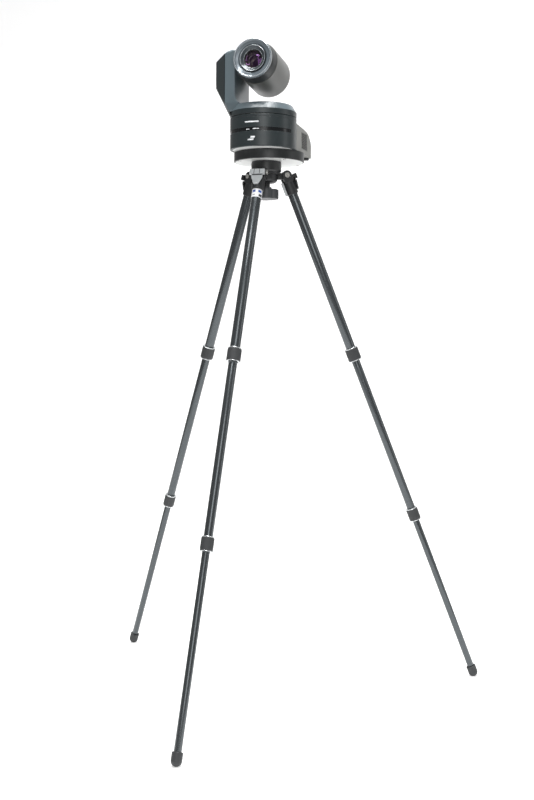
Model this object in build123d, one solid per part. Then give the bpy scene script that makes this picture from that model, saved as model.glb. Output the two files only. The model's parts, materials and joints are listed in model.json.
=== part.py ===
from build123d import *
import math
import os

os.makedirs("parts", exist_ok=True)

# ---------------------------------------------------------------- driving dimensions, millimetres
# Frame: +Z up, the lens looks along -Y, the floor is z = 0.

# Tripod stance
HINGE_HEIGHT = 1111.0       # leg hinge axes above the floor
HINGE_RADIUS = 42.5         # leg hinge axes from the tripod's axis
LEG_SPREAD = 22.0           # degrees between a leg and the vertical
LEG_AZIMUTHS = {"front": 270.0, "right": 30.0, "left": 150.0}

# Leg tubes, with distances along the leg from its hinge
UPPER_RADIUS, MIDDLE_RADIUS, LOWER_RADIUS = 10.5, 9.0, 7.5
TUBE_WALL = 1.2
UPPER_COLLAR_START, UPPER_COLLAR_END = 395.7, 425.1
LOWER_COLLAR_START, LOWER_COLLAR_END = 778.8, 807.9
UPPER_COLLAR_RADIUS, LOWER_COLLAR_RADIUS = 14.4, 12.8
TUBE_OVERLAP = 45.0         # length of tube kept inside the section above
COLLAR_SHOULDER = 16.3      # depth at which a tube ends inside its collar
FOOT_RADIUS = 10.5
FOOT_LENGTH = 26.0
FOOT_FLAT_DEPTH = 0.5       # how far the round end of a foot is cut flat

# Leg casting and hinge
EAR_RADIUS, EAR_INNER, EAR_OUTER = 10.0, 6.3, 14.0
SLEEVE_RADIUS, SLEEVE_START, SLEEVE_END = 13.0, 11.0, 42.0
TUBE_SEAT = 20.0            # where the upper tube starts inside the sleeve
TONGUE_HALF_WIDTH, TONGUE_RADIUS = 6.0, 8.5
BOLT_RADIUS, BOLT_HEAD_RADIUS, BOLT_HEAD_HEIGHT = 3.0, 5.2, 3.2
LABEL_START, LABEL_END, LABEL_THICKNESS = 42.6, 62.0, 0.4
LOCK_GUIDE_REACH = 5.0      # how far the lock's guide reaches into the casting
LOCK_FACE = SLEEVE_RADIUS + 0.4
LOCK_GUIDE_HALF, LOCK_GUIDE_LOW, LOCK_GUIDE_HIGH = 4.0, -18.0, -14.0

# Spider, platform and clamp, with heights above the hinge axes
HUB_RADIUS, HUB_BOTTOM, HUB_TOP = 24.0, -17.0, 5.0
HUB_FLANGE_RADIUS, HUB_FLANGE_HEIGHT = 29.0, 4.0
PLATFORM_RADIUS, PLATFORM_TOP, PAD_TOP = 32.0, 24.5, 27.5
ROD_RADIUS, ROD_BOTTOM = 8.0, -45.0
KNOB_RADIUS, KNOB_BOTTOM, KNOB_TOP = 26.3, -51.0, -31.0
SCREW_RADIUS = 3.175        # quarter inch camera screw
SCREW_BOTTOM = 10.0

# Camera: heights are above the pan seam, and positions are from the pan axis
SEAM_ABOVE_HINGE = 114.4
PAN_AHEAD_OF_TRIPOD = 22.0
DRUM_RADIUS, DRUM_WALL = 70.0, 3.0
SEAM_GAP = 0.6              # half of the gap at the pan seam
RIM_Z, BASE_Z = -66.2, -86.9
SLOT_LOW, SLOT_HIGH, SLOT_HALF_ANGLE = -35.2, -27.7, 75.0
CHASSIS_RADIUS, CHASSIS_BACK, CHASSIS_WALL = 75.0, 40.0, 2.5
HUMP_HALF_WIDTH, HUMP_BACK, HUMP_CORNER = 67.0, 140.0, 10.0
HUMP_WALL = 2.5
SKIRT_TOP, DOME_TOP, BEVEL_TOP_RADIUS = 11.5, 25.5, 61.0
TILT_Z = 101.7
LENS_UP = 7.0               # degrees that the lens looks up at rest
ARM_INNER, ARM_SPLIT, ARM_OUTER = -48.0, -71.0, -99.0
ARM_HALF_DEPTH, ARM_TOP, ARM_TOP_DROP = 46.0, 139.0, 7.0
CONE_FOOT, CONE_RADIUS, CONE_TOP = 2.0, 102.0, 66.0     # lower limit of the arm's outside
COVER_BEVEL_DEPTH, COVER_BEVEL_TOP = 22.0, 12.0
ARM_WALL = 2.5
BARREL_RADIUS, BARREL_REAR, BARREL_FRONT = 44.5, 59.0, 45.0
BARREL_WALL, BARREL_ROUND = 2.5, 18.0
COLLAR_FRONT, FACE_FRONT = 70.0, 76.5
FACE_RADIUS, LENS_RADIUS, GLASS_RADIUS = 41.2, 27.5, 19.0
LENS_BODY_RADIUS = 22.5
GEAR_MODULE = 1.0
PINION_TEETH, PAN_TEETH, TILT_TEETH = 12, 72, 48
GEAR_BACKLASH = 0.3
PAN_GEAR_LOW, PAN_GEAR_HIGH = -20.0, -14.0
TILT_GEAR_INNER, TILT_GEAR_OUTER = -60.0, -66.0

RUN_FIT = 0.05              # radial clearance of a shaft in its bore
FREE_GAP = 0.3              # clearance between parts that move past each other

# ---------------------------------------------------------------- places worked out from them
spread = math.radians(LEG_SPREAD)
foot_centre_along = (HINGE_HEIGHT - FOOT_RADIUS + FOOT_FLAT_DEPTH) / math.cos(spread)
foot_reach = HINGE_RADIUS + foot_centre_along * math.sin(spread)
foot_top_along = foot_centre_along + FOOT_RADIUS - FOOT_LENGTH
# The two back feet reach half as far along Y as the front foot, so the middle of the footprint
# is a quarter of the reach in front of the tripod's axis.
AXIS_Y = foot_reach / 4
PAN_Y = AXIS_Y - PAN_AHEAD_OF_TRIPOD
SEAM_Z = HINGE_HEIGHT + SEAM_ABOVE_HINGE
pan_centre_distance = GEAR_MODULE * (PAN_TEETH + PINION_TEETH) / 2 + GEAR_BACKLASH
tilt_centre_distance = GEAR_MODULE * (TILT_TEETH + PINION_TEETH) / 2 + GEAR_BACKLASH

TRIPOD = Location((0, AXIS_Y, HINGE_HEIGHT))
CAMERA = Location((0, PAN_Y, SEAM_Z))
TILT = CAMERA * Location((0, 0, TILT_Z)) * Location((0, 0, 0), (-LENS_UP, 0, 0))


# ---------------------------------------------------------------- shared shapes
def cylinder_between(radius, low, high):
    """A solid cylinder on the Z axis from height low to height high."""
    return Pos(0, 0, (low + high) / 2) * Cylinder(radius, high - low)


def ring_between(outer, inner, low, high):
    """A straight ring on the Z axis."""
    return cylinder_between(outer, low, high) - cylinder_between(inner, low - 1, high + 1)


def block(x0, x1, y0, y1, z0, z1):
    """A box between two corners."""
    centre = Pos((x0 + x1) / 2, (y0 + y1) / 2, (z0 + z1) / 2)
    return centre * Box(x1 - x0, y1 - y0, z1 - z0)


def turned(points):
    """A solid turned about Z from a closed outline of (radius, height) points."""
    outline = make_face(Polyline(*[(r, 0, z) for r, z in points], close=True))
    return revolve(outline, Axis.Z, 360)


def prism(points, half_width):
    """A solid with a closed outline of (y, z) points, from x = -half_width to half_width."""
    outline = make_face(Polyline(*[(0, y, z) for y, z in points], close=True))
    return extrude(outline, half_width, dir=(1, 0, 0), both=True)


def spur_gear(teeth, bore, low, high, first_tooth):
    """A spur gear on Z whose first tooth points at the angle first_tooth, in degrees."""
    pitch_radius = GEAR_MODULE * teeth / 2
    root_radius = pitch_radius - GEAR_MODULE
    tip_radius = pitch_radius + 0.7 * GEAR_MODULE
    gear = cylinder_between(root_radius, low, high)
    root, root_half, tip_half = root_radius - 0.5, 0.75, 0.32
    flank = [(root, root_half), (tip_radius, tip_half), (tip_radius, -tip_half), (root, -root_half)]
    outline = make_face(Polyline(*[(x, y * GEAR_MODULE, low) for x, y in flank], close=True))
    tooth = extrude(outline, high - low, dir=(0, 0, 1))
    gear += [Rot(0, 0, first_tooth + 360 * i / teeth) * tooth for i in range(teeth)]
    return gear - cylinder_between(bore, low - 1, high + 1)


def save(node, shape):
    """Write one named part."""
    export_step(shape, f"parts/{node}.step")


def leg_place(azimuth):
    """The frame of a leg: origin on its hinge, -Z down the leg, +X outwards."""
    turn = Location((0, 0, 0), (0, 0, azimuth))
    lean = Location((HINGE_RADIUS, 0, 0), (0, -LEG_SPREAD, 0))
    return TRIPOD * turn * lean


# ---------------------------------------------------------------- spider, platform and clamp
def spider():
    """The cast hub with three tongues for the leg hinges, and a rounded lower end."""
    hub = cylinder_between(HUB_RADIUS, HUB_BOTTOM, HUB_TOP)
    hub = fillet(hub.edges().sort_by(Axis.Z)[0], 9)
    hub += cylinder_between(HUB_FLANGE_RADIUS, HUB_TOP - HUB_FLANGE_HEIGHT, HUB_TOP)
    for azimuth in LEG_AZIMUTHS.values():
        arm = block(HUB_RADIUS - 6, HINGE_RADIUS, -TONGUE_HALF_WIDTH, TONGUE_HALF_WIDTH, -TONGUE_RADIUS, 5)
        lug = Pos(HINGE_RADIUS, 0, 0) * Rot(90, 0, 0) * Cylinder(TONGUE_RADIUS, 2 * TONGUE_HALF_WIDTH)
        pin_hole = Pos(HINGE_RADIUS, 0, 0) * Rot(90, 0, 0) * Cylinder(BOLT_RADIUS + RUN_FIT, 40)
        hub += Rot(0, 0, azimuth) * (arm + lug)
        hub -= Rot(0, 0, azimuth) * pin_hole
    hub -= cylinder_between(ROD_RADIUS + RUN_FIT, HUB_BOTTOM - 1, HUB_TOP + 1)
    return TRIPOD * hub


def hinge_bolts():
    """Three hinge bolts, each with its head and its nut outside the ears of a casting."""
    bolts = []
    side = EAR_OUTER + 0.2
    for azimuth in LEG_AZIMUTHS.values():
        shaft = cylinder_between(BOLT_RADIUS, -side, side)
        head = cylinder_between(BOLT_HEAD_RADIUS, side, side + BOLT_HEAD_HEIGHT)
        head -= Pos(0, 0, side + BOLT_HEAD_HEIGHT) * extrude(RegularPolygon(2.4, 6), -1.8)
        nut = Pos(0, 0, -side) * extrude(RegularPolygon(BOLT_HEAD_RADIUS, 6), -BOLT_HEAD_HEIGHT)
        bolt = shaft + head + nut
        bolts.append(TRIPOD * Rot(0, 0, azimuth) * Pos(HINGE_RADIUS, 0, 0) * Rot(90, 0, 0) * bolt)
    return Compound(children=bolts)


def platform():
    """The cast top plate with the rod that runs down through the spider."""
    plate = cylinder_between(PLATFORM_RADIUS, HUB_TOP, PLATFORM_TOP)
    plate = chamfer(plate.edges().sort_by(Axis.Z)[0], 3, 3)
    plate += cylinder_between(ROD_RADIUS, ROD_BOTTOM, HUB_TOP + 1)
    return TRIPOD * (plate - cylinder_between(SCREW_RADIUS + RUN_FIT, SCREW_BOTTOM, PLATFORM_TOP + 1))


def platform_pad():
    """The rubber disc between the platform and the camera."""
    return TRIPOD * ring_between(PLATFORM_RADIUS - 1, SCREW_RADIUS + RUN_FIT, PLATFORM_TOP, PAD_TOP)


def camera_screw():
    """The quarter inch stud that holds the camera down."""
    return TRIPOD * cylinder_between(SCREW_RADIUS, SCREW_BOTTOM, PAD_TOP + 8)


def clamp_knob():
    """The lobed knob under the spider."""
    knob = cylinder_between(KNOB_RADIUS, KNOB_BOTTOM, KNOB_TOP)
    flute = cylinder_between(9, KNOB_BOTTOM - 1, KNOB_TOP + 1)
    lobes = 8
    knob -= [Rot(0, 0, 360 * i / lobes) * Pos(KNOB_RADIUS + 7.2, 0, 0) * flute for i in range(lobes)]
    knob += cylinder_between(11.5, KNOB_TOP - 1, KNOB_TOP + 5)
    knob = chamfer(knob.edges().group_by(Axis.Z)[0], 1.2)
    knob -= cylinder_between(ROD_RADIUS + RUN_FIT, ROD_BOTTOM - 0.5, KNOB_TOP + 6)
    return TRIPOD * knob


# ---------------------------------------------------------------- legs
def leg_casting():
    """The cast top of a leg: two ears round the tongue and a sleeve round the tube."""
    ears = []
    for side in (-1, 1):
        low, high = sorted((side * EAR_INNER, side * EAR_OUTER))
        round_end = Pos(0, (low + high) / 2, 0) * Rot(90, 0, 0) * Cylinder(EAR_RADIUS, high - low)
        web = block(-EAR_RADIUS, EAR_RADIUS, low, high, -SLEEVE_START - 4, 0)
        ears += [round_end, web]
    casting = cylinder_between(SLEEVE_RADIUS, -SLEEVE_END, -SLEEVE_START)
    casting = chamfer(casting.edges().sort_by(Axis.Z)[0], 1)
    for ear in ears:
        casting += ear
    casting -= cylinder_between(UPPER_RADIUS + RUN_FIT, -SLEEVE_END - 1, -TUBE_SEAT)
    casting -= Rot(90, 0, 0) * Cylinder(BOLT_RADIUS + RUN_FIT, 40)
    slot_half = LOCK_GUIDE_HALF + FREE_GAP
    slot = block(LOCK_GUIDE_REACH - FREE_GAP, SLEEVE_RADIUS + 7, -slot_half, slot_half,
                 LOCK_GUIDE_LOW - FREE_GAP, LOCK_GUIDE_HIGH + FREE_GAP)
    return casting - slot


def angle_lock():
    """The bright pull tab of a leg's angle stop: a ribbed bar above a tapering shield."""
    bar = block(LOCK_FACE, LOCK_FACE + 6, -16, 16, -13, -2)
    for edge in (-6, 6):
        bar -= block(LOCK_FACE + 5, LOCK_FACE + 7, edge - 0.6, edge + 0.6, -14, -1)
    neck = block(LOCK_FACE, LOCK_FACE + 2, -9, 9, -16, -12)
    outline = [(-12.3, -15), (12.3, -15), (11.6, -20), (4.6, -35), (-4.6, -35), (-11.6, -20)]
    face = make_face(Polyline(*[(LOCK_FACE, y, z) for y, z in outline], close=True))
    shield = extrude(face, 3, dir=(1, 0, 0))
    guide = block(LOCK_GUIDE_REACH, LOCK_FACE + 1, -LOCK_GUIDE_HALF, LOCK_GUIDE_HALF,
                  LOCK_GUIDE_LOW, LOCK_GUIDE_HIGH)
    return bar + neck + shield + guide


def tube(radius, start, end):
    """A leg tube between two distances from the hinge."""
    return ring_between(radius, radius - TUBE_WALL, -end, -start)


def collar(radius, start, end, tube_above, tube_below):
    """A twist collar: it turns on the end of one tube and lets the next one through."""
    body = cylinder_between(radius, -end, -start)
    body = chamfer(body.edges().filter_by(GeomType.CIRCLE), 0.8)
    shoulder = start + COLLAR_SHOULDER + FREE_GAP
    body -= cylinder_between(tube_above + RUN_FIT, -shoulder, -start + 1)
    return body - cylinder_between(tube_below + FREE_GAP, -end - 1, -shoulder + 1)


def foot():
    """A rubber foot with a round end, pushed over the end of the lower tube."""
    body = cylinder_between(FOOT_RADIUS, -foot_centre_along, -foot_top_along)
    body = chamfer(body.edges().sort_by(Axis.Z)[-1], 1)
    body += Pos(0, 0, -foot_centre_along) * Sphere(FOOT_RADIUS)
    return body - cylinder_between(LOWER_RADIUS + RUN_FIT, -foot_centre_along + 2, -foot_top_along + 1)


def label_band():
    """The plain band round the top of the front leg's upper tube."""
    outer = UPPER_RADIUS + RUN_FIT + LABEL_THICKNESS
    return ring_between(outer, UPPER_RADIUS + RUN_FIT, -LABEL_END, -LABEL_START)


def save_legs():
    """Write the nine parts of each leg."""
    floor_cut = block(-900, 900, -900, 900, -50, 0)
    middle_start = UPPER_COLLAR_END - TUBE_OVERLAP
    lower_start = LOWER_COLLAR_END - TUBE_OVERLAP
    shapes = {
        "leg_casting": leg_casting(),
        "angle_lock": angle_lock(),
        "upper_tube": tube(UPPER_RADIUS, TUBE_SEAT, UPPER_COLLAR_START + COLLAR_SHOULDER),
        "middle_tube": tube(MIDDLE_RADIUS, middle_start, LOWER_COLLAR_START + COLLAR_SHOULDER),
        "lower_tube": tube(LOWER_RADIUS, lower_start, foot_centre_along - 2),
        "upper_collar": collar(UPPER_COLLAR_RADIUS, UPPER_COLLAR_START, UPPER_COLLAR_END,
                               UPPER_RADIUS, MIDDLE_RADIUS),
        "lower_collar": collar(LOWER_COLLAR_RADIUS, LOWER_COLLAR_START, LOWER_COLLAR_END,
                               MIDDLE_RADIUS, LOWER_RADIUS),
        "rubber_foot": foot(),
    }
    for side, azimuth in LEG_AZIMUTHS.items():
        place = leg_place(azimuth)
        for name, shape in shapes.items():
            placed = place * shape
            if name == "rubber_foot":
                placed -= floor_cut
            save(f"{name}_{side}", placed)
    save("label_band", leg_place(LEG_AZIMUTHS["front"]) * label_band())


# ---------------------------------------------------------------- camera base
def slot_sector(outer, inner):
    """The part of a ring at the slot's height that faces forwards within the slot's angle."""
    ring = ring_between(outer, inner, SLOT_LOW, SLOT_HIGH)
    reach = 200.0
    angle = math.radians(SLOT_HALF_ANGLE)
    corners = [(0, 0), (-reach * math.sin(angle), -reach * math.cos(angle)), (-reach, -reach),
               (reach, -reach), (reach * math.sin(angle), -reach * math.cos(angle))]
    wedge = make_face(Polyline(*[(x, y, SLOT_LOW - 1) for x, y in corners], close=True))
    return ring & extrude(wedge, SLOT_HIGH - SLOT_LOW + 2, dir=(0, 0, 1))


DECK_LOW, DECK_HIGH = -10.0, -4.0
BEARING_OUTER, SPIGOT_RADIUS = 30.0, 24.0
MOTOR_RADIUS, MOTOR_TOP, MOTOR_BOTTOM = 14.0, -24.0, -50.0
SHAFT_RADIUS = 2.5
GROOVE_LOW, GROOVE_HIGH = -6.2, -5.4
CABLE_HOLE_RADIUS, FLOOR_THICKNESS = 20.0, 2.5


def base_drum():
    """The fixed drum: wall, bearing deck, motor shelf and bottom plate."""
    inner = DRUM_RADIUS - DRUM_WALL
    drum = ring_between(DRUM_RADIUS, inner, RIM_Z, -SEAM_GAP)
    drum += ring_between(inner + 0.5, BEARING_OUTER, DECK_LOW, DECK_HIGH)
    drum += ring_between(inner + 0.5, CABLE_HOLE_RADIUS, RIM_Z, RIM_Z + FLOOR_THICKNESS)
    half = MOTOR_RADIUS + 2
    shelf = block(pan_centre_distance - half, DRUM_RADIUS, -half, half, MOTOR_TOP, MOTOR_TOP + 2)
    shelf &= cylinder_between(inner + 0.5, MOTOR_TOP - 1, MOTOR_TOP + 3)
    shaft_hole = cylinder_between(6, MOTOR_TOP - 1, MOTOR_TOP + 3)
    drum += shelf - Pos(pan_centre_distance, 0, 0) * shaft_hole
    drum -= slot_sector(DRUM_RADIUS + 1, inner - 1)
    drum -= ring_between(DRUM_RADIUS + 1, DRUM_RADIUS - 0.5, GROOVE_LOW, GROOVE_HIGH)
    return CAMERA * drum


def slot_window():
    """The dark window strip, set back in the drum's slot."""
    return CAMERA * slot_sector(DRUM_RADIUS - 0.8, DRUM_RADIUS - DRUM_WALL)


# The rear housing's side outline: (y, height above the rim, share of the wall taken off y, off z)
HUMP_PROFILE = [(0, 58, 0, 1), (20, 57, 0, 1), (55, 55, 0, 1), (80, 53, 0, 1), (100, 50.5, 0.2, 1),
                (114, 45, 0.6, 0.8), (127, 34, 0.8, 0.6), (136, 20, 1, 0.3), (HUMP_BACK, 6, 1, 0)]


def hump_solid(inset):
    """The rear housing's outside, or its inside for an inset of one wall."""
    outline = [(y - inset * back, z - inset * down) for y, z, back, down in HUMP_PROFILE]
    outline = [(0, -inset)] + outline + [(HUMP_BACK - inset, -inset)]
    half = HUMP_HALF_WIDTH - inset
    side = prism([(y, z + RIM_Z) for y, z in outline], half)
    plan = block(-half, half, -40, HUMP_BACK - inset, RIM_Z - inset, RIM_Z + 70)
    back_corners = plan.edges().filter_by(Axis.Z).sort_by(Axis.Y)[-2:]
    return side & fillet(back_corners, HUMP_CORNER - inset)


PANEL_HALF_WIDTH, PANEL_LOW, PANEL_HIGH = 46.0, RIM_Z + 2.5, RIM_Z + 26.0
PANEL_FACE, PANEL_THICKNESS = HUMP_BACK - 16.0, 2.0
VENT_X = HUMP_HALF_WIDTH - HUMP_WALL
VENT_FRONT, VENT_BACK, VENT_LOW, VENT_HIGH, VENT_LEAN = 59.0, 102.0, RIM_Z + 10, RIM_Z + 45.5, 3.0
VENT_PITCH, VENT_HOLE_RADIUS, VENT_THICKNESS = 4.0, 1.45, 1.4


def vent_outline(grow):
    """The outline of a side vent, in (y, z), grown by a margin."""
    front, back, low, high = VENT_FRONT - grow, VENT_BACK + grow, VENT_LOW - grow, VENT_HIGH + grow
    return [(front, low), (back, low), (back - VENT_LEAN, high), (front - VENT_LEAN, high)]


def rear_housing():
    """The housing behind the drum, with a floor, side vents and an opening for the connectors."""
    outside = hump_solid(0)
    shell = outside - hump_solid(HUMP_WALL)
    shell -= prism(vent_outline(0), HUMP_HALF_WIDTH + 5)
    shell -= block(-PANEL_HALF_WIDTH, PANEL_HALF_WIDTH, PANEL_FACE - 4, HUMP_BACK + 1,
                   PANEL_LOW, PANEL_HIGH)
    floor = outside & block(-HUMP_HALF_WIDTH, HUMP_HALF_WIDTH, 0, HUMP_BACK, RIM_Z, RIM_Z + 2)
    tray_opening = cylinder_between(CHASSIS_RADIUS - CHASSIS_WALL, RIM_Z - 1, RIM_Z + 3)
    shell += floor - Pos(0, CHASSIS_BACK, 0) * tray_opening
    return CAMERA * (shell - cylinder_between(DRUM_RADIUS, RIM_Z - 1, 10))


def vent_grilles():
    """The two perforated side vents."""
    plate = make_face(Polyline(*[(0, y, z) for y, z in vent_outline(-0.05)], close=True))
    plate = extrude(plate, VENT_THICKNESS, dir=(1, 0, 0))
    holes = []
    rows, columns = 9, 9
    row_rise = VENT_PITCH * math.sqrt(3) / 2
    for row in range(rows):
        for column in range(columns):
            z = VENT_LOW + VENT_PITCH + row_rise * row
            lean = VENT_LEAN * row / rows
            y = VENT_FRONT + VENT_PITCH * (column + 0.9 + 0.5 * (row % 2)) - lean
            hole = Rot(0, 90, 0) * Cylinder(VENT_HOLE_RADIUS, 3 * VENT_THICKNESS)
            holes.append(Pos(VENT_THICKNESS / 2, y, z) * hole)
    plate -= holes
    right = Pos(VENT_X + 0.6, 0, 0) * plate
    left = mirror(right, Plane.YZ)
    return Compound(children=[CAMERA * right, CAMERA * left])


# Sockets: name, centre x, half width, low z above the rim, high z above the rim, depth
SOCKETS = {
    "network_socket": (24.0, 8.0, 6.0, 20.0, 16.0),
    "video_socket": (-2.0, 9.0, 8.0, 16.0, 13.0),
}
SOCKET_WALL = 1.2
POWER_X, POWER_Z, POWER_RADIUS = -28.0, RIM_Z + 13.0, 5.5


def socket_block(centre, half_width, low, high, depth, grow):
    """The outside of a socket's body."""
    return block(centre - half_width - grow, centre + half_width + grow, PANEL_FACE - depth,
                 PANEL_FACE + PANEL_THICKNESS, RIM_Z + low - grow, RIM_Z + high + grow)


def connector_panel():
    """The flat plate that the sockets pass through."""
    width = PANEL_HALF_WIDTH - 0.1
    plate = block(-width, width, PANEL_FACE, PANEL_FACE + PANEL_THICKNESS,
                  PANEL_LOW + 0.1, PANEL_HIGH - 0.1)
    for centre, half_width, low, high, depth in SOCKETS.values():
        plate -= socket_block(centre, half_width, low, high, depth, 0.05)
    hole = Pos(POWER_X, PANEL_FACE, POWER_Z) * Rot(90, 0, 0) * Cylinder(POWER_RADIUS + RUN_FIT, 20)
    return CAMERA * (plate - hole)


def socket(name):
    """A rectangular socket, open at the back of the camera."""
    centre, half_width, low, high, depth = SOCKETS[name]
    body = socket_block(centre, half_width, low, high, depth, 0)
    mouth = block(centre - half_width + SOCKET_WALL, centre + half_width - SOCKET_WALL,
                  PANEL_FACE - depth + 2, PANEL_FACE + PANEL_THICKNESS + 1,
                  RIM_Z + low + SOCKET_WALL, RIM_Z + high - SOCKET_WALL)
    return CAMERA * (body - mouth)


def power_inlet():
    """The round power inlet with its centre pin."""
    body = cylinder_between(POWER_RADIUS, -12, PANEL_THICKNESS)
    body -= cylinder_between(3.4, -9, PANEL_THICKNESS + 1)
    body += cylinder_between(1.0, -10, 0)
    return CAMERA * Pos(POWER_X, PANEL_FACE, POWER_Z) * Rot(-90, 0, 0) * body


BOARD_Z, BOARD_THICKNESS = -78.0, 1.6
BOARD_LOW_Y, BOARD_HIGH_Y, BOARD_HALF_WIDTH = 42.0, 92.0, 40.0


def bottom_chassis():
    """The round tray under the camera, with the tripod thread's boss and the board's posts."""
    boss_radius, post_radius, post_inset = 11, 3, 4
    tray = cylinder_between(CHASSIS_RADIUS, BASE_Z, RIM_Z)
    tray = fillet(tray.edges().sort_by(Axis.Z)[0], 1.5)
    tray -= cylinder_between(CHASSIS_RADIUS - CHASSIS_WALL, BASE_Z + 3, RIM_Z + 1)
    tray = Pos(0, CHASSIS_BACK, 0) * tray
    tray += Pos(0, PAN_AHEAD_OF_TRIPOD, 0) * cylinder_between(boss_radius, BASE_Z, BASE_Z + 11)
    for x in (-BOARD_HALF_WIDTH + post_inset, BOARD_HALF_WIDTH - post_inset):
        for y in (BOARD_LOW_Y + post_inset, BOARD_HIGH_Y - post_inset):
            tray += Pos(x, y, 0) * cylinder_between(post_radius, BASE_Z, BOARD_Z)
    thread = cylinder_between(SCREW_RADIUS + RUN_FIT, BASE_Z - 1, BASE_Z + 9)
    return CAMERA * (tray - Pos(0, PAN_AHEAD_OF_TRIPOD, 0) * thread)


def main_board():
    """The circuit board on its posts, with its larger chips."""
    board = block(-BOARD_HALF_WIDTH, BOARD_HALF_WIDTH, BOARD_LOW_Y, BOARD_HIGH_Y,
                  BOARD_Z, BOARD_Z + BOARD_THICKNESS)
    top = BOARD_Z + BOARD_THICKNESS
    board += block(-10, 10, 55, 75, top, top + 3)
    board += block(18, 30, 50, 62, top, top + 2)
    board += block(-32, -20, 66, 84, top, top + 5)
    return CAMERA * board


FAN_X, FAN_Y, FAN_Z, FAN_HALF, FAN_BORE = 59.3, 75.5, RIM_Z + 18.5, 15.0, 13.6


def fan_place():
    """The fan's axis, along X, behind the right side vent."""
    return CAMERA * Pos(FAN_X, FAN_Y, FAN_Z) * Rot(0, 90, 0)


def fan_frame():
    """The square fan frame, with three spokes that carry the motor."""
    frame = block(-FAN_HALF, FAN_HALF, -FAN_HALF, FAN_HALF, -5, 5)
    frame -= cylinder_between(FAN_BORE, -6, 6)
    for i in range(3):
        frame += Rot(0, 0, 120 * i) * block(4, FAN_BORE + 0.5, -1, 1, -5, -3.5)
    frame += cylinder_between(6, -5, -3.5)
    frame += cylinder_between(1.5, -5, 2)
    return fan_place() * frame


def fan_rotor():
    """The fan's hub and seven pitched blades."""
    rotor = cylinder_between(6, -2.8, 4.4)
    blade = Pos(9.0, 0, 0.8) * Rot(35, 0, 0) * Box(7.4, 6.0, 0.9)
    rotor += [Rot(0, 0, 360 * i / 7) * blade for i in range(7)]
    return fan_place() * (rotor - cylinder_between(1.5 + RUN_FIT, -4, 2.3))


def pan_bearing():
    """The plain ring bearing between the deck and the turntable's spigot."""
    return CAMERA * ring_between(BEARING_OUTER - RUN_FIT, SPIGOT_RADIUS + RUN_FIT, DECK_LOW, DECK_HIGH)


def pan_gear():
    """The gear on the turntable's spigot."""
    gear = spur_gear(PAN_TEETH, SPIGOT_RADIUS, PAN_GEAR_LOW, PAN_GEAR_HIGH, 0)
    return CAMERA * gear


def pan_motor():
    """The pan motor under its shelf."""
    motor = cylinder_between(MOTOR_RADIUS, MOTOR_BOTTOM, MOTOR_TOP)
    motor -= cylinder_between(SHAFT_RADIUS + RUN_FIT, MOTOR_TOP - 15, MOTOR_TOP + 1)
    return CAMERA * Pos(pan_centre_distance, 0, 0) * motor


def pan_pinion():
    """The pan motor's pinion with its shaft."""
    gap_towards_gear = 180.0 + 180.0 / PINION_TEETH
    pinion = spur_gear(PINION_TEETH, 1.0, PAN_GEAR_LOW, PAN_GEAR_HIGH, gap_towards_gear)
    pinion += cylinder_between(SHAFT_RADIUS, MOTOR_TOP - 14, PAN_GEAR_LOW + 1)
    return CAMERA * Pos(pan_centre_distance, 0, 0) * pinion


# ---------------------------------------------------------------- turning head
SHAFT_OUTER, SHAFT_INNER = 14.0, 10.0
ARM_FOOT = 5.0              # where the arm starts above the pan seam


def dome_outline(inset):
    """The turntable's outline: skirt, wide bevel and flat top, moved in by inset."""
    bevel_foot = (DRUM_RADIUS - inset, SKIRT_TOP - 0.3 * inset)
    bevel_head = (BEVEL_TOP_RADIUS - 0.55 * inset, DOME_TOP - inset)
    return [(0, SEAM_GAP), (DRUM_RADIUS - inset, SEAM_GAP), bevel_foot, bevel_head, (0, DOME_TOP - inset)]


def arm_bound():
    """The space that the arm keeps to: a cone that widens upwards from the drum's edge."""
    clear_radius, clear_top = 160, 200
    return turned([(0, SEAM_GAP), (DRUM_RADIUS, SEAM_GAP), (DRUM_RADIUS, CONE_FOOT),
                   (CONE_RADIUS, CONE_TOP), (clear_radius, CONE_TOP), (clear_radius, clear_top),
                   (0, clear_top)])


def arm_outline():
    """The arm's front outline in (x, z), with its top sloping down to the cover."""
    corner, level = 2, 12
    return [(ARM_INNER, ARM_FOOT), (ARM_INNER, ARM_TOP - corner), (ARM_INNER - corner, ARM_TOP),
            (ARM_INNER - level, ARM_TOP), (ARM_SPLIT, ARM_TOP - ARM_TOP_DROP), (ARM_SPLIT, ARM_FOOT)]


def extruded_xz(points, half_depth):
    """A solid with a closed outline of (x, z) points, from y = -half_depth to half_depth."""
    face = make_face(Polyline(*[(x, 0, z) for x, z in points], close=True))
    return extrude(face, half_depth, dir=(0, 1, 0), both=True)


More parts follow.
